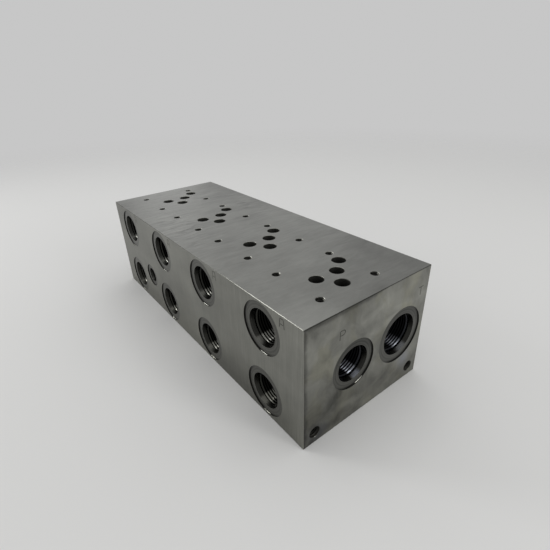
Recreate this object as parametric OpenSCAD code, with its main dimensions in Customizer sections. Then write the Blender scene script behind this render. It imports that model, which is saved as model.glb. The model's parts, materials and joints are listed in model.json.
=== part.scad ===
// Hydraulic valve subplate: a one-piece drilled steel block that carries a row of directional valves.
// Millimetres, Z up. The block is centred on X and Y and stands on Z = 0.
// The side with the work ports faces -Y, and the pressure and tank ports are in the +X end.

/* [Block] */

// Height of the block
block_height = 101.6; // [92:0.1:160]

// From the centre of an end station to that end of the block
end_margin = 41.275; // [38:0.025:80]

// From the ported side to the centre line of the valve stations
station_setback = 57.5; // [52:0.1:90]

// From the tank gallery's axis to the back of the block
back_margin = 28.7; // [26:0.1:60]

// Chamfer that breaks every outer edge of the block
edge_break = 0.3; // [0.2:0.1:1.4]

/* [Valve stations] */

// Number of valves that the block carries
station_count = 4; // [2:1:6]

// Distance between neighbouring stations
station_pitch = 82.55; // [72:0.05:120]

// Valve bolt spacing along the block
bolt_spacing_x = 46; // [40:0.1:54]

// Valve bolt spacing across the block
bolt_spacing_y = 54; // [50:0.1:60]

// Nominal diameter of the valve bolts
bolt_d = 6.35; // [5:0.05:8]

// Depth of the tapped bolt holes
bolt_depth = 20; // [12:0.5:24]

// Diameter of the round ports under a valve
valve_port_d = 11.3; // [8:0.1:11.5]

// From a station's centre to its pressure port, along the block
p_port_x = 16.7; // [15:0.1:18]

// From a station's centre to its two work ports, along the block
ab_port_x = 1.6; // [0:0.1:3]

// From a station's centre to each of its work ports, across the block
ab_port_y = 10.3; // [9.5:0.1:12]

// From a station's centre back to its tank port, along the block
t_port_x = 9.5; // [6:0.1:11]

// From a station's centre to its tank port, across the block
t_port_y = 23.8; // [21:0.1:26]

/* [Work ports and pressure port] */

// Spotface diameter
work_spotface_d = 41.3; // [36:0.1:42]

// Diameter of the O-ring seat at the spotface
work_mouth_d = 29.2; // [28:0.1:32]

// Nominal thread diameter
work_thread_d = 26.99; // [22:0.01:27.5]

// Depth of the thread bore below the spotface
work_thread_depth = 23; // [18:0.5:26]

// Depth of the O-ring seat below the spotface
work_seat_depth = 3.3; // [2:0.1:5]

// Diameter of the passage behind each work port
work_core_d = 19; // [18.5:0.1:22]

// From the top and the bottom of the block to the two rows of work ports
work_row_inset = 22.225; // [21.5:0.025:24]

// Shift of the side ports from the stations' centres, along the block
side_port_shift = -2; // [-5:0.1:5]

/* [Tank port] */

// Spotface diameter
tank_spotface_d = 48.5; // [42:0.1:50]

// Diameter of the O-ring seat at the spotface
tank_mouth_d = 35.5; // [34:0.1:38]

// Nominal thread diameter
tank_thread_d = 33.34; // [29:0.01:33.8]

// Depth of the thread bore below the spotface
tank_thread_depth = 23; // [18:0.5:30]

// Depth of the O-ring seat below the spotface
tank_seat_depth = 3.3; // [2:0.1:5]

/* [Gauge port] */

// Spotface diameter
gauge_spotface_d = 24.6; // [20:0.1:27]

// Diameter of the O-ring seat at the spotface
gauge_mouth_d = 15.6; // [15:0.1:17]

// Nominal thread diameter
gauge_thread_d = 14.29; // [12:0.01:14.8]

// Depth of the thread bore below the spotface
gauge_thread_depth = 15.5; // [12:0.5:20]

// Depth of the O-ring seat below the spotface
gauge_seat_depth = 2.5; // [1.5:0.1:4]

// Diameter of the passage behind the gauge port
gauge_core_d = 8; // [6:0.1:11]

// From the pressure gallery's axis down to the gauge port's axis
gauge_drop = 13.8; // [8:0.1:14.5]

/* [Galleries] */

// Diameter of the pressure gallery
p_gallery_d = 24; // [18:0.1:25]

// From the valves' pressure ports to the pressure gallery's axis, towards the ported side
p_gallery_lead = 10.8; // [9:0.1:14]

// Diameter of the tank gallery
t_gallery_d = 28; // [26:0.1:30]

// From the valves' tank ports to the tank gallery's axis, towards the back
t_gallery_lag = 17; // [10:0.1:17.5]

/* [Machining] */

// Depth of every port's spotface below its side of the block
spotface_depth = 0.8; // [0.4:0.1:3]

// Included angle of the drill points
drill_point = 118; // [90:1:140]

// Width of a drill's chisel edge, as a share of the drill's diameter
chisel_share = 0.12; // [0.05:0.01:0.25]

// Width of the countersink round a tapped hole or a valve port
countersink = 0.3; // [0.1:0.05:0.8]

// How far a passage runs on past the last drilling that it meets
run_on = 1; // [0.5:0.1:3]

/* [Foot holes] */

// Nominal diameter of the screws that hold a foot to each end
foot_d = 9.53; // [6:0.01:12]

// Depth of the tapped foot holes
foot_depth = 20; // [12:0.5:24]

// From the long sides of the block to the foot holes
foot_inset_y = 10.6; // [9:0.1:16]

// From the bottom of the block to the foot holes
foot_inset_z = 9.8; // [8:0.1:14]

/* [Hidden] */

// Sub-parts of the model

// Sub-part to show

// Segments of a full circle in the preview
$fn = 96;

// How far a cutter stands out of the face that it enters
cut_over = 2;

// Across the block, all places are measured from the ported side
front_y = -(station_setback + t_port_y + t_gallery_lag + back_margin) / 2;
back_y = -front_y;
station_y = front_y + station_setback;
p_gallery_y = station_y - p_gallery_lead;
t_gallery_y = station_y + t_port_y + t_gallery_lag;

// Along the block, the stations lie evenly about the middle
first_x = -(station_count - 1) * station_pitch / 2;
end_x = -first_x + end_margin;
station_xs = [for (i = [0 : station_count - 1]) first_x + i * station_pitch];
gauge_x = first_x + station_pitch / 2 + side_port_shift;

// Up the block, the work ports keep to its faces and the galleries to its middle
a_row_z = block_height - work_row_inset;
b_row_z = work_row_inset;
gallery_z = block_height / 2;

// Profile of a hole's drilled end, from its wall down to the small flat that the chisel edge leaves
function drilled_end(d, depth) =
    let (
        flat = d * chisel_share / 2,
        bottom = depth + (d / 2 - flat) / tan(drill_point / 2)
    )
    [[d / 2, -depth], [flat, -bottom], [0, -bottom]];

// Eight-sided outline of a face with its corners cut back by the edge break
module broken_outline(width, height) {
    x = width / 2;
    y = height / 2;
    polygon([
        [x, y - edge_break],
        [x - edge_break, y],
        [-x + edge_break, y],
        [-x, y - edge_break],
        [-x, -y + edge_break],
        [-x + edge_break, -y],
        [x - edge_break, -y],
        [x, -y + edge_break],
    ]);
}

// Sawn and milled bar with all twelve edges broken
module bar() {
    length = 2 * end_x;
    width = 2 * back_y;
    translate([0, 0, block_height / 2])
        intersection() {
            linear_extrude(height = block_height, center = true)
                broken_outline(length, width);
            rotate([90, 0, 0])
                linear_extrude(height = width, center = true)
                    broken_outline(length, block_height);
            rotate([0, 90, 0])
                linear_extrude(height = length, center = true)
                    broken_outline(block_height, width);
        }
}

// The cutters below enter a face at z = 0 and go down along -z. These put them on the block's faces.
module from_top(x, y) {
    translate([x, y, block_height])
        children();
}

module from_front(x, z) {
    translate([x, front_y, z])
        rotate([90, 0, 0])
            children();
}

module from_end(side, y, z) {
    translate([side * end_x, y, z])
        rotate([0, side * 90, 0])
            children();
}

// Drilled hole, with its full diameter down to the depth and the drill's point below it
module drilling(d, depth) {
    rotate_extrude()
        polygon(concat(
            [[0, cut_over], [d / 2, cut_over]],
            drilled_end(d, depth)
        ));
}

// Drilled or tapped hole with a countersunk mouth; a tapped one has its thread's nominal diameter
module countersunk_hole(d, depth) {
    rotate_extrude()
        polygon(concat(
            [[0, cut_over], [d / 2 + countersink + cut_over, cut_over], [d / 2, -countersink]],
            drilled_end(d, depth)
        ));
}

// Straight-thread O-ring port: a spotface for the fitting's nut, the tapered O-ring seat and the thread bore
module oring_port(spotface_d, mouth_d, seat_depth, thread_d, thread_depth) {
    translate([0, 0, -spotface_depth])
        rotate_extrude()
            polygon(concat(
                [
                    [0, spotface_depth + cut_over],
                    [spotface_d / 2, spotface_depth + cut_over],
                    [spotface_d / 2, 0],
                    [mouth_d / 2, 0],
                    [thread_d / 2, -seat_depth],
                ],
                drilled_end(thread_d, thread_depth)
            ));
}

module work_port() {
    oring_port(work_spotface_d, work_mouth_d, work_seat_depth, work_thread_d, work_thread_depth);
}

module tank_port() {
    oring_port(tank_spotface_d, tank_mouth_d, tank_seat_depth, tank_thread_d, tank_thread_depth);
}

module gauge_port() {
    oring_port(gauge_spotface_d, gauge_mouth_d, gauge_seat_depth, gauge_thread_d, gauge_thread_depth);
}

// Holes under one valve: four bolts, and its ports drilled down to the passage that each one feeds
module valve_pad(x) {
    for (side_x = [-1, 1], side_y = [-1, 1])
        from_top(x + side_x * bolt_spacing_x / 2, station_y + side_y * bolt_spacing_y / 2)
            countersunk_hole(bolt_d, bolt_depth);
    from_top(x + p_port_x, station_y)
        countersunk_hole(valve_port_d, block_height - gallery_z);
    from_top(x - t_port_x, station_y + t_port_y)
        countersunk_hole(valve_port_d, block_height - gallery_z);
    from_top(x + ab_port_x, station_y - ab_port_y)
        countersunk_hole(valve_port_d, block_height - a_row_z);
    from_top(x + ab_port_x, station_y + ab_port_y)
        countersunk_hole(valve_port_d, block_height - b_row_z);
}

// Upper and lower work port of one station, each with a passage that ends behind its valve port
module work_port_pair(x) {
    from_front(x, a_row_z) {
        work_port();
        drilling(work_core_d, station_setback - ab_port_y + valve_port_d / 2 + run_on);
    }
    from_front(x, b_row_z) {
        work_port();
        drilling(work_core_d, station_setback + ab_port_y + valve_port_d / 2 + run_on);
    }
}

// Pressure and tank galleries, drilled from the ported end to just past the first station
module galleries() {
    from_end(1, p_gallery_y, gallery_z) {
        work_port();
        drilling(p_gallery_d, end_x - first_x - p_port_x + valve_port_d / 2 + run_on);
    }
    from_end(1, t_gallery_y, gallery_z) {
        tank_port();
        drilling(t_gallery_d, end_x - first_x + t_port_x + valve_port_d / 2 + run_on);
    }
}

// Gauge port between the first two stations, with a passage into the underside of the pressure gallery
module gauge_tapping() {
    from_front(gauge_x, gallery_z - gauge_drop) {
        gauge_port();
        drilling(gauge_core_d, p_gallery_y - front_y + run_on);
    }
}

// Two tapped holes low on each end, for the mounting feet
module foot_holes() {
    for (end = [-1, 1], side = [-1, 1])
        from_end(end, side * (back_y - foot_inset_y), foot_inset_z)
            countersunk_hole(foot_d, foot_depth);
}

module subplate_block() {
    color("SlateGray")
        difference() {
            bar();
            for (x = station_xs) {
                valve_pad(x);
                work_port_pair(x + side_port_shift);
            }
            galleries();
            gauge_tapping();
            foot_holes();
        }
}

subplate_block();
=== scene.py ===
"""Looks of a hydraulic valve subplate: ground and milled steel, threads, port letters and a stage."""
import json
import math
from functools import reduce

import bpy
import numpy as np
from bpy.props import FloatProperty, FloatVectorProperty, PointerProperty
from mathutils import Matrix, Vector


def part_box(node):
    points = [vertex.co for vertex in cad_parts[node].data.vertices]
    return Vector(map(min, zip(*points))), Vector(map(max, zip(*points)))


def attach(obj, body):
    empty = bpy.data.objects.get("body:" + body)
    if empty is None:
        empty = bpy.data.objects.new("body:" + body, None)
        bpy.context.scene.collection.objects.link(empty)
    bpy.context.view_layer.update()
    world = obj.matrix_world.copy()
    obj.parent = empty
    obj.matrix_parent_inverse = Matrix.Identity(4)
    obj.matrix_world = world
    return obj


bl_info = {
    "name": "Hydraulic valve subplate",
    "version": (1, 0, 0),
    "blender": (4, 5, 0),
    "location": "View3D > Sidebar > Subplate",
    "description": "Steel finish, threads, stamped port letters and stage of a drilled valve subplate",
    "category": "Object",
}

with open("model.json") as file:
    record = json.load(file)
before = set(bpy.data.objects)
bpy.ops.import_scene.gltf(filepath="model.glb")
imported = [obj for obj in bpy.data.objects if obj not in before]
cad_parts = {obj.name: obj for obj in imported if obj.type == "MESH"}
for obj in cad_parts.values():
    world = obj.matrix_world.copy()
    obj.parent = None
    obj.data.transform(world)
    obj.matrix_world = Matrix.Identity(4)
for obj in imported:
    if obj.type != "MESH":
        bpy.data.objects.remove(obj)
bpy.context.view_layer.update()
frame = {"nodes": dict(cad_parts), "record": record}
NODE = "subplate_block"
BODY = "root"
MOUNTS = {mount["name"]: mount for mount in frame["record"]["mounts"]}
PER_METRE = 1000
INCH = 25.4
LOW, HIGH = (corner * PER_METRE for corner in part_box(NODE))


def mount_place(name):
    """A mount's place in millimetres."""
    return Vector(MOUNTS[name]["pos_m"]) * PER_METRE


# Places that the finish follows, in millimetres; the work ports lie as far apart as the valve stations
FIRST_PORT = mount_place("port_a1")
STATION_PITCH = mount_place("port_a2").x - FIRST_PORT.x
PRESSURE_PORT = mount_place("port_p")
TANK_PORT = mount_place("port_t")
GAUGE_PORT = mount_place("port_gauge")
FIRST_STATION = mount_place("valve_bolts_1")
BOLT_SPACING = MOUNTS["valve_bolts_1"]["dims"]
MIDDLE_Z = (LOW.z + HIGH.z) / 2

# Sizes of the solid that the frame doesn't give, in millimetres; a rim is the radius of a spotface
EDGE_BREAK = 0.3
COUNTERSINK = 0.3
SPOTFACE_DEPTH = 0.8
SEAT_DEPTH = 3.3
GAUGE_SEAT_DEPTH = 2.5
WORK_RIM = 20.65
TANK_RIM = 24.25
GAUGE_RIM = 12.3

# How far the hidden side of a thread or a corner goes into the steel, in millimetres
BITE = 0.05

# Edges of a new piece that are sharper than this stay sharp
SHARP_ANGLE = math.radians(75)

# Profile across a stamped stroke: offsets by its width, and heights by the burr, 1 on the two lips
STROKE_OFFSETS = (-0.5, -0.36, -0.2, 0.2, 0.36, 0.5)
STROKE_HEIGHTS = (-1, 1, 0.15, 0.15, 1, -1)

# Width of the camera's sensor, in millimetres
SENSOR_WIDTH = 36


class ThreadSettings(bpy.types.PropertyGroup):
    """Sizes of the threads in the ports and screw holes, and of the spotfaces' corners."""

    port_pitch: FloatProperty(
        name="Port pitch",
        description="Distance between the threads of the large ports, in millimetres",
        default=INCH / 12, min=0.5, max=4)
    gauge_pitch: FloatProperty(
        name="Gauge pitch",
        description="Distance between the threads of the gauge port, in millimetres",
        default=INCH / 18, min=0.5, max=3)
    bolt_pitch: FloatProperty(
        name="Valve bolt pitch",
        description="Distance between the threads of the valve bolt holes, in millimetres",
        default=INCH / 20, min=0.5, max=3)
    foot_pitch: FloatProperty(
        name="Foot screw pitch",
        description="Distance between the threads of the foot holes, in millimetres",
        default=INCH / 16, min=0.5, max=3)
    bolt_length: FloatProperty(
        name="Valve bolt thread",
        description="Length of the thread in a valve bolt hole, in millimetres",
        default=18, min=5, max=20)
    facet: FloatProperty(
        name="Facet",
        description="Length of one facet along a thread or a spotface's corner, in millimetres",
        default=0.9, min=0.3, max=3)
    spotface_corner: FloatProperty(
        name="Spotface corner",
        description="Radius that the cutter left in the corner of a spotface, in millimetres",
        default=0.45, min=0.1, max=0.7)


class LetterSettings(bpy.types.PropertyGroup):
    """Sizes and places of the stamped port letters."""

    height: FloatProperty(
        name="Height",
        description="Height of a letter, in millimetres",
        default=7, min=3, max=12)
    stroke: FloatProperty(
        name="Stroke",
        description="Width of a stamped stroke, in millimetres",
        default=1.2, min=0.3, max=2)
    burr: FloatProperty(
        name="Burr",
        description="Height of the lip that the stamp throws up, in millimetres",
        default=0.02, min=0.01, max=0.1)
    side_offset: FloatProperty(
        name="Side letter offset",
        description="From an upper port's axis to its letter, along the block, in millimetres",
        default=23, min=20, max=30)
    below_top: FloatProperty(
        name="Below top",
        description="From the top of the block to the middle of a side letter, in millimetres",
        default=6, min=4, max=12)
    end_below_top: FloatProperty(
        name="End below top",
        description="From the top of the block to the middle of an end letter, in millimetres",
        default=19.2, min=6, max=25)
    pressure_offset: FloatProperty(
        name="Pressure letter offset",
        description="From the pressure port's axis to its letter, across the block, in millimetres",
        default=-13.4, min=-25, max=25)
    tank_offset: FloatProperty(
        name="Tank letter offset",
        description="From the tank port's axis to its letter, across the block, in millimetres",
        default=19.5, min=-25, max=25)


class SteelSettings(bpy.types.PropertyGroup):
    """Colours and finish of the block."""

    steel: FloatVectorProperty(
        name="Steel",
        description="Colour of the bare steel",
        subtype="COLOR", size=3, default=(0.23, 0.232, 0.218), min=0, max=1)
    olive: FloatVectorProperty(
        name="Olive stain",
        description="Colour of the steel where old oil has stained it",
        subtype="COLOR", size=3, default=(0.222, 0.22, 0.185), min=0, max=1)
    oil_blue: FloatVectorProperty(
        name="Oil sheen",
        description="Colour of the steel under a thin film of oil",
        subtype="COLOR", size=3, default=(0.2, 0.21, 0.235), min=0, max=1)
    ground_roughness: FloatProperty(
        name="Ground roughness",
        description="Roughness of the ground top",
        subtype="FACTOR", default=0.34, min=0, max=1)
    milled_roughness: FloatProperty(
        name="Milled roughness",
        description="Roughness of the milled sides and ends",
        subtype="FACTOR", default=0.45, min=0, max=1)
    # Brightens the edges and hole lips: partly wear, partly a painted highlight
    edge_tone: FloatProperty(
        name="Edge tone",
        description="Brightness of the worn edges and hole lips against the faces",
        default=1.7, min=0, max=4)
    # Darkens the bores: partly oil, partly painted shade
    bore_tone: FloatProperty(
        name="Bore tone",
        description="Brightness of the drilled bores against the faces",
        subtype="FACTOR", default=0.4, min=0, max=1)
    # Darkens the threads: partly oil, partly painted shade
    thread_tone: FloatProperty(
        name="Thread tone",
        description="Brightness of a hole's first threads against the faces",
        subtype="FACTOR", default=0.16, min=0, max=1)


class StageSettings(bpy.types.PropertyGroup):
    """Floor, light and camera."""

    floor_colour: FloatVectorProperty(
        name="Floor",
        description="Colour of the floor",
        subtype="COLOR", size=3, default=(0.73, 0.73, 0.72), min=0, max=1)
    fill: FloatProperty(
        name="Fill",
        description="Strength of the even light from all round, which is also the backdrop",
        default=0.57, min=0, max=2)
    overhead_power: FloatProperty(
        name="Overhead lamp",
        description="Power of the large lamp above the block",
        unit="POWER", default=4.5, min=0, max=100)
    back_power: FloatProperty(
        name="Back lamp",
        description="Power of the large lamp beyond the far end, which lights the top",
        unit="POWER", default=0.5, min=0, max=100)
    far_power: FloatProperty(
        name="Far window",
        description="Power of the lamp beyond the far end, which shines on the top",
        unit="POWER", default=0.55, min=0, max=100)
    front_power: FloatProperty(
        name="Front window",
        description="Power of the tall lamp at the left front, which lights the edges",
        unit="POWER", default=3, min=0, max=100)
    right_power: FloatProperty(
        name="Right window",
        description="Power of the tall lamp at the right back, which shines into the end ports",
        unit="POWER", default=3, min=0, max=100)
    eye: FloatVectorProperty(
        name="Eye",
        description="Place of the camera",
        subtype="TRANSLATION", unit="LENGTH", size=3, default=(0.298705, -0.182864, 0.234351))
    heading: FloatProperty(
        name="Heading",
        description="Direction of the view about the vertical, from +X",
        subtype="ANGLE", default=math.radians(143.0622))
    pitch: FloatProperty(
        name="Pitch",
        description="Rise of the view above the horizon",
        subtype="ANGLE", default=math.radians(-28.2481))
    roll: FloatProperty(
        name="Roll",
        description="Turn of the camera about its view",
        subtype="ANGLE", default=math.radians(-2.1215))
    lens: FloatProperty(
        name="Lens",
        description="Focal length of the camera on a sensor 36 mm wide",
        unit="CAMERA", default=25.328, min=10, max=200)


class Number:
    """A number in a material: it wraps a socket, and arithmetic on it adds Math nodes."""

    def __init__(self, graph, socket):
        self.graph = graph
        self.socket = socket

    def __add__(self, other):
        return self.graph.maths("ADD", self, other)

    def __sub__(self, other):
        return self.graph.maths("SUBTRACT", self, other)

    def __rsub__(self, other):
        return self.graph.maths("SUBTRACT", other, self)

    def __mul__(self, other):
        return self.graph.maths("MULTIPLY", self, other)

    def __truediv__(self, other):
        return self.graph.maths("DIVIDE", self, other)

    def __rtruediv__(self, other):
        return self.graph.maths("DIVIDE", other, self)

    def __abs__(self):
        return self.graph.maths("ABSOLUTE", self)

    __radd__ = __add__
    __rmul__ = __mul__


class Graph:
    """The node tree of one material or world."""

    def __init__(self, owner):
        owner.use_nodes = True
        self.tree = owner.node_tree
        self.tree.nodes.clear()

    def node(self, kind, settings=None, sockets=None):
        """Adds a node, sets its settings, then its sockets' values or links, and gives its outputs."""
        made = self.tree.nodes.new("ShaderNode" + kind)
        for name, value in (settings or {}).items():
            setattr(made, name, value)
        inputs = {socket.identifier: socket for socket in made.inputs}
        for name, value in (sockets or {}).items():
            if isinstance(value, Number):
                self.tree.links.new(value.socket, inputs[name])
            else:
                inputs[name].default_value = value
        return {socket.identifier: Number(self, socket) for socket in made.outputs}

    def maths(self, operation, *values):
        """One Math node on up to three values."""
        names = ("Value", "Value_001", "Value_002")
        return self.node("Math", {"operation": operation}, dict(zip(names, values)))["Value"]

    def least(self, *values):
        """The smallest of the values."""
        return reduce(lambda found, value: self.maths("MINIMUM", found, value), values)

    def most(self, *values):
        """The largest of the values."""
        return reduce(lambda found, value: self.maths("MAXIMUM", found, value), values)

    def reach(self, first, second):
        """Length of the hypotenuse over two legs."""
        return self.maths("SQRT", first * first + second * second)

    def between(self, first, second, share):
        """Number that goes from the first to the second as share goes from 0 to 1."""
        return first + share * (second - first)

    def step(self, value, start, end, height=1.0):
        """0 at start and height at end, smooth between and level outside; start may be the larger one."""
        sockets = {"Value": value, "From Min": start, "From Max": end, "To Max": height}
        return self.node("MapRange", {"interpolation_type": "SMOOTHSTEP"}, sockets)["Result"]

    def oval(self, first, second, middle, half, height=1.0):
        """Soft oval on a face: height in its middle and 0 outside it.

        first and second are the point's places along the face's axes, and half gives the oval's half widths.
        """
        across = (first - middle[0]) * (1 / half[0])
        down = (second - middle[1]) * (1 / half[1])
        return self.step(self.reach(across, down), start=1, end=0, height=height)

    def noise(self, point, size, seed, height=1.0, detail=2.0, warp=0.0):
        """Noise from -height / 2 to height / 2, whose grain is as long along X, Y and Z as size says."""
        # Strength of each finer layer of detail against the layer before it
        finer_share = 0.55
        grain = {"Vector": point, "Vector_001": [1 / length for length in size], "Vector_002": [seed] * 3}
        sockets = {
            "Vector": self.node("VectorMath", {"operation": "MULTIPLY_ADD"}, grain)["Vector"],
            "Scale": 1.0,
            "Detail": detail,
            "Roughness": finer_share,
            "Distortion": warp,
        }
        return self.maths("MULTIPLY_ADD", self.node("TexNoise", {}, sockets)["Fac"], height, -height / 2)

    def blend(self, share, first, second):
        """Colour that goes from the first to the second as share goes from 0 to 1."""
        sockets = {"Factor_Float": share, "A_Color": first, "B_Color": second}
        return self.node("Mix", {"data_type": "RGBA"}, sockets)["Result_Color"]

    def scaled(self, vector, factor):
        """Colour or vector multiplied by a number."""
        return self.node("VectorMath", {"operation": "SCALE"}, {"Vector": vector, "Scale": factor})["Vector"]

    def point(self):
        """The shaded point's place in the object, in millimetres."""
        return self.scaled(self.node("TexCoord")["Object"], PER_METRE)

    def surface(self, sockets):
        """Ends the material in one Principled shader with these values or links."""
        self.node("OutputMaterial", {}, {"Surface": self.node("BsdfPrincipled", {}, sockets)["BSDF"]})


class BlockPlace:
    """Where a shaded point lies on the block, in millimetres, and which of its surfaces it is on.

    The surfaces are shares, each 1 on its own surface and 0 on the others.
    """

    # Depth of the skin that still counts as the face above it
    SKIN = 0.05

    # How far behind its face a port's marks reach, and the distance that stands for no port there
    PORT_REACH = 30.0
    NO_PORT = 100.0

    def __init__(self, graph):
        self.graph = graph
        self.point = graph.point()
        axes = graph.node("SeparateXYZ", {}, {"Vector": self.point})
        self.x = axes["X"]
        self.y = axes["Y"]
        self.z = axes["Z"]
        self.find_faces()
        self.find_ports()
        self.find_bolts()
        self.find_surfaces()

    def find_faces(self):
        """Sets the distances behind faces, the shares of faces, in_end and above_middle, and edge_loss.

        depth is the distance behind the nearest face, and edge the one behind the second nearest. in_end is
        1 by the ported end and away from the long sides, and above_middle 1 in the block's upper half.
        The edges' painted shade is the share of their brightness that the ends' edges and the bottom edges
        lack.
        """
        graph = self.graph
        self.below_top = HIGH.z - self.z
        self.behind_front = self.y - LOW.y
        self.behind_end = HIGH.x - self.x
        self.on_top = graph.step(self.below_top, start=self.SKIN, end=0)
        self.on_front = graph.step(self.behind_front, start=self.SKIN, end=0)
        self.on_end = graph.step(self.behind_end, start=self.SKIN, end=0)
        self.above_middle = graph.step(self.z - MIDDLE_Z, start=0, end=12)

        along = HIGH.x - abs(self.x)
        across = HIGH.y - abs(self.y)
        upright = MIDDLE_Z - abs(self.z - MIDDLE_Z)
        self.depth = graph.least(along, across, upright)
        self.edge = graph.most(graph.least(along, across), graph.least(graph.most(along, across), upright))
        near_end = graph.step(self.behind_end, start=self.PORT_REACH, end=self.PORT_REACH - 1)
        self.in_end = near_end * graph.step(across, start=2, end=3)

        # Painted shade: the ends' edges and the bottom edges are made darker
        by_edge = {"start": 2 * EDGE_BREAK, "end": EDGE_BREAK}
        level_end_edges = graph.step(graph.most(along, upright), **by_edge, height=0.9)
        bottom_edges = graph.step(self.z, **by_edge, height=0.9)
        end_edges = graph.step(along, **by_edge, height=0.35)
        self.edge_loss = graph.most(level_end_edges, bottom_edges, end_edges)

    def folded(self, value, pitch):
        """Distance from the nearest of the places that lie a pitch apart on both sides of 0."""
        return self.graph.maths("WRAP", value, pitch / 2, -pitch / 2)

    def find_ports(self):
        """Sets rim, the distance outside the nearest port's spotface, and shaded, shine and glint.

        These three are shares, each 1 on one side of a port: shaded where the spotface's wall darkens its
        floor, shine along the low line where the bore shows the windows, and glint on a short arc at the
        foot of the wall. The tank port has less shine than the others, and no glint.
        """
        graph = self.graph
        tank_shine_loss = 0.4
        at_tank = graph.step(self.y - (PRESSURE_PORT.y + TANK_PORT.y) / 2, start=-self.SKIN, end=self.SKIN)
        in_tank = self.in_end * at_tank
        from_port = self.folded(self.x - FIRST_PORT.x, STATION_PITCH)
        from_row = self.folded(self.z - FIRST_PORT.z, 2 * (FIRST_PORT.z - MIDDLE_Z))
        from_end_port = self.y - graph.between(PRESSURE_PORT.y, TANK_PORT.y, at_tank)
        from_middle = self.z - MIDDLE_Z
        work = graph.reach(from_port, from_row)
        gauge = graph.reach(self.x - GAUGE_PORT.x, self.z - GAUGE_PORT.z)
        end_port = graph.reach(from_end_port, from_middle)

        beyond = {"start": self.PORT_REACH, "end": self.PORT_REACH + 1, "height": self.NO_PORT}
        front_rim = graph.least(work - WORK_RIM, gauge - GAUGE_RIM)
        end_rim = end_port - graph.between(WORK_RIM, TANK_RIM, at_tank)
        self.rim = graph.least(
            front_rim + graph.step(self.behind_front, **beyond),
            end_rim + graph.step(self.behind_end, **beyond),
        )

        def nearness(side_way, end_way):
            """Cosine of the angle between the point's way from its port's axis and a mark's way.

            side_way is along and down on the side of the work ports, end_way across and down on the end.
            """
            on_side = (side_way[0] * from_port - side_way[1] * from_row) / work
            on_end = (end_way[0] * from_end_port - end_way[1] * from_middle) / end_port
            return graph.between(on_side, on_end, self.in_end)

        to_shade = nearness(side_way=(-0.83, 0.56), end_way=(0.75, 0.67))
        to_shine = nearness(side_way=(-0.25, 0.97), end_way=(0.37, 0.93))
        to_glint = nearness(side_way=(0.06, 1), end_way=(0.37, 0.93))
        self.shaded = graph.step(to_shade, start=0, end=0.6)
        self.shine = graph.step(to_shine, start=0.93, end=0.985) * (1 - tank_shine_loss * in_tank)
        self.glint = graph.step(to_glint, start=0.978, end=0.993) * (1 - in_tank)

    def find_bolts(self):
        """Sets bolt_glint, the share of the light side of the valve bolt holes."""
        graph = self.graph
        # Which way the light side lies from a bolt's axis
        way_along = 0.6
        way_across = 0.8
        from_station = self.folded(self.x - FIRST_STATION.x, STATION_PITCH)
        from_line = self.y - FIRST_STATION.y
        along = (abs(from_station) - BOLT_SPACING["spacing_x_mm"] / 2) * graph.maths("SIGN", from_station)
        across = (abs(from_line) - BOLT_SPACING["spacing_y_mm"] / 2) * graph.maths("SIGN", from_line)
        from_bolt = graph.reach(along, across)
        in_bolt = graph.step(from_bolt, start=5, end=4.5) * self.above_middle
        nearness = (way_along * along + way_across * across) / from_bolt
        self.bolt_glint = in_bolt * graph.step(nearness, start=0.6, end=0.9)

    def find_surfaces(self):
        """Sets the shares of the edges, hole lips, spotfaces and their walls, O-ring seats and bores.

        The gauge port's seat, which is shallower, counts as if it were as deep as the others.
        """
        graph = self.graph
        skin = self.SKIN
        seat_end = SPOTFACE_DEPTH + SEAT_DEPTH
        off_faces = graph.step(self.depth, start=0, end=skin)
        above_bore = graph.step(self.depth, start=COUNTERSINK + skin, end=COUNTERSINK)
        above_floor = graph.step(self.depth, start=SPOTFACE_DEPTH - skin / 2, end=SPOTFACE_DEPTH - skin)
        above_seat = graph.step(self.depth, start=SPOTFACE_DEPTH + skin, end=SPOTFACE_DEPTH)
        above_thread = graph.step(self.depth, start=seat_end + skin, end=seat_end)
        self.chamfer = off_faces * graph.step(self.edge, start=EDGE_BREAK + skin, end=EDGE_BREAK)
        self.recess = off_faces * (1 - self.chamfer)
        self.in_port = graph.step(self.rim, start=0.5, end=0.3)
        port = self.recess * self.in_port
        self.countersink = self.recess * (1 - self.in_port) * above_bore
        self.wall = port * above_floor
        self.spotface = port * above_seat - self.wall
        self.seat = port * above_thread - self.spotface - self.wall
        self.bore = self.recess - self.countersink - self.wall - self.spotface - self.seat


def ground_streaks(at):
    """Two noises that the grinding left across the top: waves, and scallops, most in two worked areas."""
    unworked = 0.2
    graph = at.graph
    front_worked = graph.oval(at.x, at.y, middle=(-45, -42), half=(80, 30))
    back_worked = graph.oval(at.x, at.y, middle=(-45, 44), half=(35, 22))
    waves = graph.noise(at.point, size=(9, 34, 40), seed=3.1, warp=0.7)
    scallops = graph.noise(at.point, size=(8, 26, 30), seed=6.6, detail=1.5, warp=1.2)
    return waves, scallops * (unworked + front_worked + back_worked)


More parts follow.
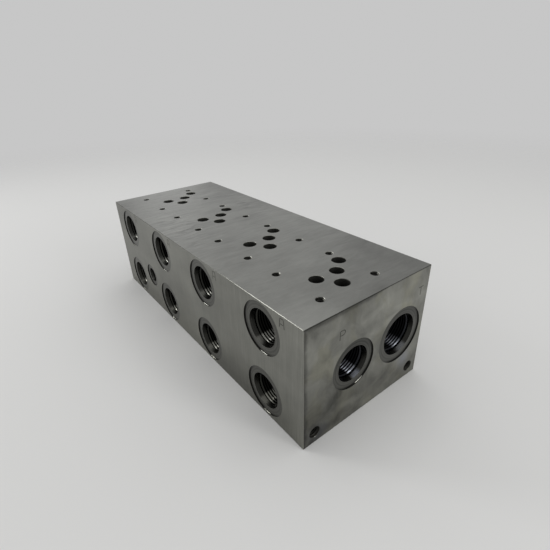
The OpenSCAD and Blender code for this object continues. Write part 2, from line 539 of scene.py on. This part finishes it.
def ground_top(at, waves, scallops):
    """Tone of the ground top: the grinding's streaks, clouds and fine grain, with painted light at the near
    corner and painted shade towards the back.
    """
    clean_tone = 0.98
    near_waves = 0.25
    scallop_share = 1.3
    graph = at.graph
    # The grinding streaks are painted stronger towards the far end, where they show in the reflection:
    # partly real marks, partly a painted reflection
    far_waves = graph.step(at.x, start=110, end=-90, height=0.55)
    streaks = waves * (near_waves + far_waves) + scallop_share * scallops
    clouds = graph.noise(at.point, size=(45, 36, 50), seed=8.4, height=0.5)
    fine = graph.noise(at.point, size=(0.6, 3, 1), seed=1.7, height=0.2)
    # Painted light at the near corner, and painted shade along the back towards the far end and at the back
    # corner by the ported end
    light_corner = graph.oval(at.x, at.y, middle=(165, -63), half=(75, 36), height=0.3)
    dark_back = graph.oval(at.x, at.y, middle=(-120, 60), half=(100, 40), height=0.15)
    dark_right = graph.step(at.x + 2 * at.y, start=120, end=280, height=0.1)
    return clean_tone + streaks + clouds + fine + light_corner - dark_back - dark_right


def milled_side(at, lines):
    """Tone of the sides and the far end: milled lines over clouds, darker towards the far end and the
    bottom, with painted shade on the lower front side by the ported end.
    """
    clean_tone = 1.06
    far_lines = 0.25
    graph = at.graph
    near_lines = graph.step(at.x, start=-20, end=120, height=0.3)
    milling = lines * (far_lines + near_lines)
    bands = graph.noise(at.point, size=(7, 7, 60), seed=3.6, height=0.2)
    clouds = graph.noise(at.point, size=(45, 45, 28), seed=2.9, detail=3, height=0.7)
    darker_low = graph.step(at.z, start=60, end=0, height=0.04)
    darker_far = graph.step(at.x, start=0, end=-150, height=0.2)
    # Painted shade on the lower part of the front side, by the ported end
    dark_foot = at.on_front * graph.oval(at.x, at.z, middle=(92, 2), half=(75, 40), height=0.42)
    return clean_tone + milling + bands + clouds - darker_low - darker_far - dark_foot


def dull_border(at):
    """Share of its brightness that the ported end lacks in a ragged border along its front and top edges."""
    graph = at.graph
    narrowing = graph.step(at.y, start=-10, end=20, height=4)
    ragged = graph.noise(at.point, size=(20, 9, 9), seed=2.4, detail=3, height=5)
    inside = graph.least(at.behind_front, at.below_top + narrowing) + ragged
    wide = graph.step(inside, start=4.5, end=1, height=0.5)
    # The thin band under the top edge is painted shade, as dark as the edge above it
    return wide + graph.step(at.below_top, start=1.2, end=0.5, height=0.3)


def cloudy_end(at):
    """Tone of the ported end: blotchy clouds, faint streaks, a painted sheen on its upper part and on the
    oil smear below the tank port, a lighter patch by the front, a dull border and a dark foot.
    """
    clean_tone = 1.04
    graph = at.graph
    clouds = graph.noise(at.point, size=(24, 20, 17), seed=6.3, detail=4, warp=0.6, height=1.6)
    streaks = graph.noise(at.point, size=(30, 5, 35), seed=4.8, height=0.3)
    # Painted sheen on the upper part of the end, and a lighter patch by the front
    sheen_upper = graph.oval(at.y, at.z, middle=(26, 86), half=(46, 26), height=0.36)
    lighter_front = graph.oval(at.y, at.z, middle=(-50, 76), half=(14, 18), height=0.216)
    # Painted sheen on the oil smear below the tank port
    smear_sheen = graph.oval(at.y, at.z, middle=(45, 25), half=(15, 15), height=0.75)
    high = graph.step(at.below_top, start=18, end=3)
    dark_corner = high * graph.step(at.y, start=10, end=-25, height=0.2)
    dark_foot = graph.step(at.z, start=48, end=16, height=0.24)
    low = graph.step(at.z, start=70, end=40)
    dark_front = low * graph.step(at.y, start=0, end=-50, height=0.3)
    light = clouds + streaks + sheen_upper + lighter_front + smear_sheen
    return (clean_tone + light - dark_corner - dark_foot - dark_front) * (1 - dull_border(at))


def worn_and_highlit_edges(at, edge_tone):
    """Tone of the block's edges, partly worn bright and partly a painted highlight that is brightest by the
    ported end, and of the lips of the countersunk holes, with a painted glint by the bolt holes.
    """
    far_share = 0.2
    lip_share = 0.65
    lip_glint = 1.5
    end_lip_loss = 0.4
    # Painted highlight along the edges, strongest by the ported end, over their painted shade
    near = at.graph.step(at.x, start=55, end=150)
    edge = (1 - at.edge_loss) * at.graph.between(far_share, 1, near)
    lip = lip_share + lip_glint * at.bolt_glint - end_lip_loss * at.in_end
    return edge_tone * (at.chamfer * edge + at.countersink * lip)


def turned_ports(at, rings):
    """Tone of the ports: walls painted dark as shade with a painted glint, turned floors with a painted
    shadow on one side, and seats with a painted shine.
    """
    wall_tone = 0.08
    floor_tone = 0.38
    floor_rings = 0.8
    upper_end_loss = 0.15
    seat_tone = 0.13
    seat_rings = 0.2
    seat_shine = 0.15
    end_seat_shine = 0.15
    graph = at.graph
    # The wall's dark tone is painted shade, and its glint a painted highlight
    wall = wall_tone + at.glint * graph.step(at.depth, start=0.4, end=0.55, height=2.6)
    # Painted shadow of the wall on one side of the floor
    shadow = at.shaded * graph.step(at.rim, start=-2.6, end=-0.6, height=0.75)
    floor = floor_tone - upper_end_loss * at.in_end * at.above_middle + floor_rings * rings
    # Painted shine along the low side of the seats
    seat = seat_tone + seat_rings * rings + (seat_shine + end_seat_shine * at.in_end) * at.shine
    return at.wall * wall + at.spotface * floor * (1 - shadow) + at.seat * seat


def dark_bores(at, bore_tone):
    """Tone of the bores and threads, darker with depth partly for oil and partly as painted shade, with a
    painted highlight on one side in ports and bolt holes.
    """
    port_shine = 0.9
    graph = at.graph
    # Darker with depth: partly oil, partly painted shade
    drilled = bore_tone * (1 - graph.step(at.depth, start=4.5, end=8, height=0.8))
    # Painted shine along the low side of the ports
    shine = port_shine * at.in_port * at.shine * (1 - graph.step(at.depth, start=6, end=18, height=0.7))
    # Painted glint on one side of the bolt holes
    glint = at.bolt_glint * graph.step(at.depth, start=3, end=1)
    return at.bore * (drilled + shine + glint)


def stained_colour(at, steel):
    """Colour of the steel: olive where oil has stained the sides, blue under a film of oil on the end and in
    its bores, and blue as a painted reflection along the shine of the end ports' seats.
    """
    olive_share = 0.35
    film_share = 0.7
    graph = at.graph
    stains = graph.noise(at.point, size=(22, 22, 30), seed=9.6, detail=3)
    end_stains = at.on_end * graph.step(stains, start=-0.02, end=0.2)
    low_stains = graph.step(at.z, start=50, end=0, height=0.3)
    olive = (1 - at.on_top) * (olive_share + end_stains + low_stains)
    back_film = graph.oval(at.y, at.z, middle=(44, 22), half=(12, 16), height=film_share)
    front_film = graph.oval(at.y, at.z, middle=(-50, 8), half=(14, 10), height=film_share)
    # In the end ports the blue is an oil film in the bores and a painted reflection along the seats' shine
    port_film_and_sheen = at.in_end * at.in_port * (at.seat * at.shine + at.bore)
    film = at.on_end * (back_film + front_film) + port_film_and_sheen
    stained = graph.blend(olive, (*steel.steel, 1), (*steel.olive, 1))
    return graph.blend(film, stained, (*steel.oil_blue, 1))


def steel_roughness(at, steel, faces):
    """Roughness of the steel: smoother on worn edges and in ports, rougher on light faces and in bores."""
    light_share = 0.15
    worn_loss = 0.15
    spotface_loss = 0.1
    port_loss = 0.2
    drilled_gain = 0.1
    level = at.graph.between(steel.milled_roughness, steel.ground_roughness, at.on_top)
    light = light_share * (faces - 1) * (1 - at.recess)
    worn = worn_loss * (at.chamfer + at.countersink + at.wall)
    turned = spotface_loss * at.spotface + port_loss * at.in_port * (at.seat + at.bore)
    drilled = drilled_gain * at.bore * (1 - at.in_port)
    return level + light - worn - turned + drilled


def steel_material(name, steel, bore_tone):
    """Steel whose finish follows the block's faces, edges, hole lips, spotfaces, O-ring seats and bores.

    The relief of its milled lines, turned rings and ground streaks is in millimetres.
    """
    line_relief = 0.015
    ring_relief = 0.02
    streak_relief = 0.4
    material = bpy.data.materials.new(name)
    graph = Graph(material)
    at = BlockPlace(graph)
    waves, scallops = ground_streaks(at)
    lines = graph.noise(at.point, size=(0.8, 1, 30), seed=5.2, warp=0.3)
    across_rings = graph.node("CombineXYZ", {}, {"X": at.rim})["Vector"]
    rings = graph.noise(across_rings, size=(0.7, 1, 1), seed=7.7)

    sides = graph.between(milled_side(at, lines), cloudy_end(at), at.on_end)
    faces = graph.between(sides, ground_top(at, waves, scallops), at.on_top)
    holes = turned_ports(at, rings) + dark_bores(at, bore_tone)
    tone = faces * (1 - at.recess) * (1 - at.chamfer) + worn_and_highlit_edges(at, steel.edge_tone) + holes
    milled = line_relief * lines * (1 - at.recess) * (1 - at.on_top)
    turned = ring_relief * rings * (at.spotface + at.seat)
    ground = streak_relief * at.on_top * (waves + scallops)
    bump = {"Strength": 1.0, "Distance": 1 / PER_METRE, "Height": milled + turned + ground}
    graph.surface({
        "Base Color": graph.scaled(stained_colour(at, steel), tone),
        "Metallic": 1.0,
        "Roughness": steel_roughness(at, steel, faces),
        "Normal": graph.node("Bump", {}, bump)["Normal"],
    })
    return material


def letter_material(steel):
    """Stamped strokes: a groove darkened as painted shade between two bright lips, told apart by the lip
    attribute.
    """
    groove_tone = 0.3
    lip_gain = 0.8
    groove_roughness = 0.5
    lip_loss = 0.15
    material = bpy.data.materials.new("stamped_letter")
    graph = Graph(material)
    lip = graph.node("Attribute", {"attribute_name": "lip"})["Fac"]
    mottle = graph.noise(graph.point(), size=(1.5, 1.5, 1.5), seed=2.2, height=0.3)
    half_stained = (np.array(steel.steel) + np.array(steel.olive)) / 2
    graph.surface({
        # The groove's dark tone is painted shade
        "Base Color": graph.scaled(half_stained, groove_tone + lip_gain * lip + mottle),
        "Metallic": 1.0,
        "Roughness": groove_roughness - lip_loss * lip,
    })
    return material


def swept_tube(sections, joined=False):
    """Closed tube through sections, an array of stations by points by XYZ in millimetres.

    Gives its points, in metres, and its faces. Face (i, j) joins points j and j + 1 of sections i and i + 1,
    where j + 1 comes round to the first point. A joined tube comes round to its first section too, and two
    flat caps close the ends of any other.
    """
    stations, corners = sections.shape[:2]
    points = sections.reshape(-1, 3) / PER_METRE
    index = np.arange(stations * corners).reshape(stations, corners)
    after = np.roll(index, -1, axis=0)
    walls = np.stack([index, np.roll(index, -1, axis=1), np.roll(after, -1, axis=1), after], axis=-1)
    if joined:
        return points, walls.reshape(-1, 4).tolist()
    caps = [index[0, ::-1].tolist(), index[-1].tolist()]
    return points, walls[:-1].reshape(-1, 4).tolist() + caps


def add_piece(name, tubes, material):
    """One mesh object from closed tubes, with faces outwards, that rides on the block."""
    points = []
    faces = []
    offset = 0
    for tube_points, tube_faces in tubes:
        points.append(tube_points)
        faces.extend([corner + offset for corner in face] for face in tube_faces)
        offset += len(tube_points)
    mesh = bpy.data.meshes.new(name)
    mesh.from_pydata(np.concatenate(points).tolist(), [], faces)
    mesh.shade_smooth()
    mesh.set_sharp_from_angle(angle=SHARP_ANGLE)
    mesh.materials.append(material)
    piece = bpy.data.objects.new(name, mesh)
    bpy.context.scene.collection.objects.link(piece)
    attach(piece, BODY)
    return piece


def circle_round(axis, angle):
    """Unit vectors square to an axis, at these angles round it: cos * sideways + sin * upwards."""
    sideways = axis.orthogonal().normalized()
    upwards = axis.cross(sideways)
    return np.cos(angle)[..., None] * np.array(sideways) + np.sin(angle)[..., None] * np.array(upwards)


def thread_ridge(mouth, inward, radius, pitch, length, facet):
    """Ridge of a 60 degree thread in a bore, as a closed tube. Lengths are in millimetres.

    The profile is carried along a right-handed helix. At turn t, the axis point is
    mouth + inward * pitch * (t + foot), where foot is half the profile's width, and a profile point with
    height h and offset s lies at distance radius - h from the axis and s * pitch further in. The height
    fades to almost nothing over half a turn at both ends.
    """
    # Half widths and height of the profile, by the pitch
    crest = 1 / 8
    foot = 7 / 16
    depth = 0.5413
    # Turns over which the height fades, and the share of it that is left at the ends
    fade_turns = 0.5
    end_share = 0.03
    turns = length / pitch - 2 * foot
    stations = int(turns * 2 * math.pi * radius / facet)
    turn = np.linspace(0, turns, stations)[:, None]
    fade = np.clip(np.minimum(turn, turns - turn) / fade_turns, end_share, 1)
    offset = np.array([-foot, -crest, crest, foot])
    rise = np.array([0, 1, 1, 0])
    distance = radius + BITE - rise * fade * (depth * pitch + BITE)
    advance = (turn + foot + offset) * pitch
    ring = circle_round(inward, 2 * np.pi * turn)
    return swept_tube(np.array(mouth) + distance[..., None] * ring + advance[..., None] * np.array(inward))


def corner_ring(middle, outward, radius, corner, facet):
    """Round corner between a spotface's wall and floor, as a closed ring. Lengths are in millimetres.

    At angle a round the axis and angle t across the corner, a point lies at distance
    radius - corner * (1 - cos t) from the axis and corner * (1 - sin t) above the middle of the floor. The
    ring's last point is behind the corner, in the steel.
    """
    corner_points = 9
    across = np.linspace(0, np.pi / 2, corner_points)
    distance = np.append(radius - corner * (1 - np.cos(across)), radius + BITE)
    height = np.append(corner * (1 - np.sin(across)), -BITE)
    stations = int(2 * np.pi * radius / facet)
    angle = np.linspace(0, 2 * np.pi, stations, endpoint=False)[:, None]
    ring = circle_round(outward, angle)
    sections = np.array(middle) + distance[:, None] * ring + height[:, None] * np.array(outward)
    return swept_tube(sections[:, ::-1], joined=True)


def hole_mouth(name):
    """The mouth of a threaded hole, in millimetres, and the direction out of it."""
    outward = Vector(MOUNTS[name]["axis"])
    return mount_place(name) + outward * MOUNTS[name]["dims"]["length_mm"] / 2, outward


def hole_ridges(names, pitch, facet):
    """Thread ridges of the threaded holes with these mount names."""
    ridges = []
    for name in names:
        dims = MOUNTS[name]["dims"]
        mouth, outward = hole_mouth(name)
        ridges.append(thread_ridge(mouth, -outward, dims["r_mm"], pitch, dims["length_mm"], facet))
    return ridges


def bolt_ridges(names, pitch, length, facet):
    """Thread ridges of the four holes of each of these bolt patterns, which begin below the countersinks."""
    ridges = []
    for name in names:
        dims = MOUNTS[name]["dims"]
        outward = Vector(MOUNTS[name]["axis"])
        for side_x in (-0.5, 0.5):
            for side_y in (-0.5, 0.5):
                shift = Vector((side_x * dims["spacing_x_mm"], side_y * dims["spacing_y_mm"], 0))
                mouth = mount_place(name) + shift - outward * COUNTERSINK
                ridges.append(thread_ridge(mouth, -outward, dims["hole_r_mm"], pitch, length, facet))
    return ridges


def straight_stroke(start, end):
    """Points of a straight stroke's centre line."""
    stroke_points = 12
    return np.linspace(start, end, stroke_points)


def letter_strokes(letter):
    """Centre lines of the strokes of a P, a T or an A, in a box 1 high and 0.8 wide about the origin.

    The bowl of the P is a half circle with straight ends, and the A has a flat top.
    """
    top = 0.5
    foot = -0.5
    if letter == "P":
        stem = -0.32
        bowl_start = -0.29
        bowl_x = 0.08
        radius = 0.26
        bowl_points = 20
        turn = np.linspace(np.pi / 2, -np.pi / 2, bowl_points)
        bowl = np.stack([bowl_x + radius * np.cos(turn), top - radius + radius * np.sin(turn)], axis=1)
        joined = np.concatenate([[(bowl_start, top)], bowl, [(bowl_start, top - 2 * radius)]])
        return [straight_stroke((stem, foot), (stem, top)), joined]
    if letter == "T":
        bar = 0.4
        under_bar = 0.45
        return [straight_stroke((-bar, top), (bar, top)), straight_stroke((0, under_bar), (0, foot))]
    wide = 0.34
    narrow = 0.24
    bar = 0.3
    bar_y = -0.1
    legs = [straight_stroke((side * wide, foot), (side * narrow, top)) for side in (-1, 1)]
    bars = [straight_stroke((-narrow, top), (narrow, top)), straight_stroke((-bar, bar_y), (bar, bar_y))]
    return legs + bars


def stamped_strokes(letter, centre, right, up, sizes):
    """A stamped letter's strokes, as closed tubes along centre lines on a face. Lengths are in millimetres.

    The profile across a stroke has two lips and a hollow between them, and its foot lies below the face. A
    profile point with offset s and height h lies at line + s * across + h * outward.
    """
    offset = np.array(STROKE_OFFSETS) * sizes.stroke
    height = np.array(STROKE_HEIGHTS) * sizes.burr
    right = np.array(right)
    up = np.array(up)
    lift = height[:, None] * np.cross(right, up)
    tubes = []
    for stroke in letter_strokes(letter):
        line = stroke * sizes.height
        along = np.gradient(line, axis=0)
        along = along / np.linalg.norm(along, axis=1, keepdims=True)
        across = np.stack([-along[:, 1], along[:, 0]], axis=1)
        flat = line[:, None, :] + offset[None, :, None] * across[:, None, :]
        sections = np.array(centre) + flat[..., :1] * right + flat[..., 1:] * up + lift
        tubes.append(swept_tube(sections[:, ::-1]))
    return tubes


class SUBPLATE_OT_block_finish(bpy.types.Operator):
    """Give the block its steel finish"""

    bl_idname = "subplate.block_finish"
    bl_label = "Finish the block"

    def execute(self, context):
        steel = context.scene.subplate_steel
        block = frame["nodes"][NODE]
        finish = steel_material("ground_and_milled_steel", steel, steel.bore_tone)
        for slot in block.material_slots:
            slot.material = finish
        return {"FINISHED"}


class SUBPLATE_OT_threads(bpy.types.Operator):
    """Cut the threads of the ports and screw holes"""

    bl_idname = "subplate.threads"
    bl_label = "Cut the threads"

    def execute(self, context):
        sizes = context.scene.subplate_threads
        steel = context.scene.subplate_steel
        facet = sizes.facet
        work_ports = [name for name in MOUNTS if name.startswith(("port_a", "port_b"))]
        valve_bolts = [name for name in MOUNTS if name.startswith("valve_bolts")]
        foot_screws = [name for name in MOUNTS if name.startswith("foot_screw")]
        threads = {
            "work_port_threads": hole_ridges(work_ports, sizes.port_pitch, facet),
            "pressure_port_thread": hole_ridges(["port_p"], sizes.port_pitch, facet),
            "tank_port_thread": hole_ridges(["port_t"], sizes.port_pitch, facet),
            "gauge_port_thread": hole_ridges(["port_gauge"], sizes.gauge_pitch, facet),
            "foot_screw_threads": hole_ridges(foot_screws, sizes.foot_pitch, facet),
            "valve_bolt_threads": bolt_ridges(valve_bolts, sizes.bolt_pitch, sizes.bolt_length, facet),
        }
        finish = steel_material("thread_steel", steel, steel.thread_tone)
        for name, ridges in threads.items():
            add_piece(name, ridges, finish)
        return {"FINISHED"}


class SUBPLATE_OT_spotface_corners(bpy.types.Operator):
    """Round the corners of the ports' spotfaces"""

    bl_idname = "subplate.spotface_corners"
    bl_label = "Round the spotface corners"

    def execute(self, context):
        sizes = context.scene.subplate_threads
        steel = context.scene.subplate_steel
        rims = {"port_t": TANK_RIM, "port_gauge": GAUGE_RIM}
        seats = {"port_gauge": GAUGE_SEAT_DEPTH}
        rings = []
        for name in MOUNTS:
            if name.startswith("port_"):
                mouth, outward = hole_mouth(name)
                middle = mouth + outward * seats.get(name, SEAT_DEPTH)
                radius = rims.get(name, WORK_RIM)
                rings.append(corner_ring(middle, outward, radius, sizes.spotface_corner, sizes.facet))
        finish = steel_material("spotface_corner_steel", steel, steel.bore_tone)
        add_piece("spotface_corners", rings, finish)
        return {"FINISHED"}


class SUBPLATE_OT_port_letters(bpy.types.Operator):
    """Stamp the port letters"""

    bl_idname = "subplate.port_letters"
    bl_label = "Stamp the port letters"

    def execute(self, context):
        sizes = context.scene.subplate_letters
        end_axes = ((0, 1, 0), (0, 0, 1))
        side_axes = ((1, 0, 0), (0, 0, 1))
        end_z = HIGH.z - sizes.end_below_top
        side_z = HIGH.z - sizes.below_top
        pressure_place = (HIGH.x, PRESSURE_PORT.y + sizes.pressure_offset, end_z)
        tank_place = (HIGH.x, TANK_PORT.y + sizes.tank_offset, end_z)
        tubes = stamped_strokes("P", pressure_place, *end_axes, sizes)
        tubes += stamped_strokes("T", tank_place, *end_axes, sizes)
        for name in MOUNTS:
            if name.startswith("port_a"):
                side_place = (mount_place(name).x + sizes.side_offset, LOW.y, side_z)
                tubes += stamped_strokes("A", side_place, *side_axes, sizes)
        piece = add_piece("port_letters", tubes, letter_material(context.scene.subplate_steel))
        lips = np.equal(STROKE_HEIGHTS, 1).astype(float)
        values = np.tile(lips, len(piece.data.vertices) // len(lips))
        piece.data.attributes.new("lip", "FLOAT", "POINT").data.foreach_set("value", values)
        return {"FINISHED"}


def floor_material(colour):
    """Pale matt paper that goes from solid to see-through between two distances, in metres."""
    solid = 0.5
    gone = 1.5
    material = bpy.data.materials.new("pale_floor")
    graph = Graph(material)
    axes = graph.node("SeparateXYZ", {}, {"Vector": graph.node("TexCoord")["Object"]})
    fade = graph.step(graph.reach(axes["X"], axes["Y"]), start=solid, end=gone)
    sockets = {"Base Color": (*colour, 1), "Roughness": 0.9, "Specular IOR Level": 0.1}
    paper = graph.node("BsdfPrincipled", {}, sockets)["BSDF"]
    clear = graph.node("BsdfTransparent")["BSDF"]
    mixed = graph.node("MixShader", {}, {"Fac": fade, "Shader": paper, "Shader_001": clear})["Shader"]
    graph.node("OutputMaterial", {}, {"Surface": mixed})
    return material


def add_floor(colour):
    """Flat floor just under the block, as a square grid in metres, that fades into the backdrop."""
    half = 1.6
    drop = 0.0001
    lines = 9
    places = np.linspace(-half, half, lines)
    x, y = np.meshgrid(places, places, indexing="ij")
    points = np.stack([x, y, np.full_like(x, -drop)], axis=-1).reshape(-1, 3)
    index = np.arange(lines * lines).reshape(lines, lines)
    corners = [index[:-1, :-1], index[1:, :-1], index[1:, 1:], index[:-1, 1:]]
    faces = np.stack(corners, axis=-1).reshape(-1, 4)
    mesh = bpy.data.meshes.new("floor")
    mesh.from_pydata(points.tolist(), [], faces.tolist())
    mesh.materials.append(floor_material(colour))
    floor = bpy.data.objects.new("floor", mesh)
    bpy.context.scene.collection.objects.link(floor)


def add_lamp(name, power, direction, distance, width, height):
    """Soft lamp that shines on the block from this direction. Lengths are in metres."""
    middle = Vector((0, 0, MIDDLE_Z)) / PER_METRE
    towards = Vector(direction).normalized()
    data = bpy.data.lights.new(name, "AREA")
    data.shape = "RECTANGLE"
    data.size = width
    data.size_y = height
    data.energy = power
    lamp = bpy.data.objects.new(name, data)
    lamp.location = middle + towards * distance
    lamp.rotation_euler = towards.to_track_quat("Z", "Y").to_euler()
    lamp.visible_camera = False
    bpy.context.scene.collection.objects.link(lamp)


def add_lamps(stage):
    """One lamp above the block, two beyond its far end, and tall ones at the left front and right back."""
    add_lamp("overhead_lamp", stage.overhead_power,
             direction=(0, 0.05, 1), distance=1.4, width=1.3, height=1.3)
    add_lamp("back_lamp", stage.back_power,
             direction=(-0.72, 0.45, 0.55), distance=1.5, width=1.0, height=0.8)
    add_lamp("far_window", stage.far_power,
             direction=(-0.904, 0.335, 0.266), distance=3.1, width=0.5, height=0.65)
    add_lamp("front_window", stage.front_power,
             direction=(-0.68, -0.61, 0.41), distance=1.3, width=0.3, height=0.7)
    add_lamp("right_window", stage.right_power,
             direction=(0.86, 0.27, 0.41), distance=1.4, width=0.3, height=0.7)


def add_camera(stage):
    """Camera at the stage's eye, turned by its heading, pitch and roll."""
    level = math.cos(stage.pitch)
    ahead = Vector((math.cos(stage.heading) * level, math.sin(stage.heading) * level, math.sin(stage.pitch)))
    level_right = Vector((math.sin(stage.heading), -math.cos(stage.heading), 0))
    level_up = level_right.cross(ahead)
    right = level_right * math.cos(stage.roll) + level_up * math.sin(stage.roll)
    up = right.cross(ahead)
    data = bpy.data.cameras.new("camera")
    data.lens = stage.lens
    data.sensor_width = SENSOR_WIDTH
    camera = bpy.data.objects.new("camera", data)
    camera.matrix_world = Matrix.Translation(stage.eye) @ Matrix((right, up, -ahead)).transposed().to_4x4()
    bpy.context.scene.collection.objects.link(camera)
    bpy.context.scene.camera = camera


def studio_world(fill):
    """World that gives even white light from all round."""
    world = bpy.data.worlds.new("studio")
    graph = Graph(world)
    light = graph.node("Background", {}, {"Color": (1, 1, 1, 1), "Strength": fill})["Background"]
    graph.node("OutputWorld", {}, {"Surface": light})
    return world


class SUBPLATE_OT_stage(bpy.types.Operator):
    """Lay the floor, hang the lamps and place the camera"""

    bl_idname = "subplate.stage"
    bl_label = "Set the stage"

    def execute(self, context):
        stage = context.scene.subplate_stage
        add_floor(stage.floor_colour)
        add_lamps(stage)
        add_camera(stage)
        context.scene.world = studio_world(stage.fill)
        context.scene.view_settings.view_transform = "Standard"
        return {"FINISHED"}


class SUBPLATE_PT_panel(bpy.types.Panel):
    """Buttons and sizes of the subplate"""

    bl_label = "Valve subplate"
    bl_space_type = "VIEW_3D"
    bl_region_type = "UI"
    bl_category = "Subplate"

    def draw(self, context):
        for operator in OPERATORS:
            self.layout.operator(operator.bl_idname)
        for name in SETTINGS:
            group = getattr(context.scene, name)
            box = self.layout.box()
            for value in group.bl_rna.properties:
                if value.identifier in type(group).__annotations__:
                    box.prop(group, value.identifier)


OPERATORS = (
    SUBPLATE_OT_block_finish,
    SUBPLATE_OT_threads,
    SUBPLATE_OT_spotface_corners,
    SUBPLATE_OT_port_letters,
    SUBPLATE_OT_stage,
)
SETTINGS = {
    "subplate_steel": SteelSettings,
    "subplate_threads": ThreadSettings,
    "subplate_letters": LetterSettings,
    "subplate_stage": StageSettings,
}


def register():
    """Makes the settings, operators and panel known."""
    for kind in (*SETTINGS.values(), *OPERATORS, SUBPLATE_PT_panel):
        bpy.utils.register_class(kind)
    for name, kind in SETTINGS.items():
        setattr(bpy.types.Scene, name, PointerProperty(type=kind))


def unregister():
    """Takes the settings, operators and panel away again."""
    for name in SETTINGS:
        delattr(bpy.types.Scene, name)
    for kind in reversed((*SETTINGS.values(), *OPERATORS, SUBPLATE_PT_panel)):
        bpy.utils.unregister_class(kind)


def main():
    """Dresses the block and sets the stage."""
    register()
    bpy.ops.subplate.block_finish()
    bpy.ops.subplate.threads()
    bpy.ops.subplate.spotface_corners()
    bpy.ops.subplate.port_letters()
    bpy.ops.subplate.stage()


if __name__ == "__main__":
    main()
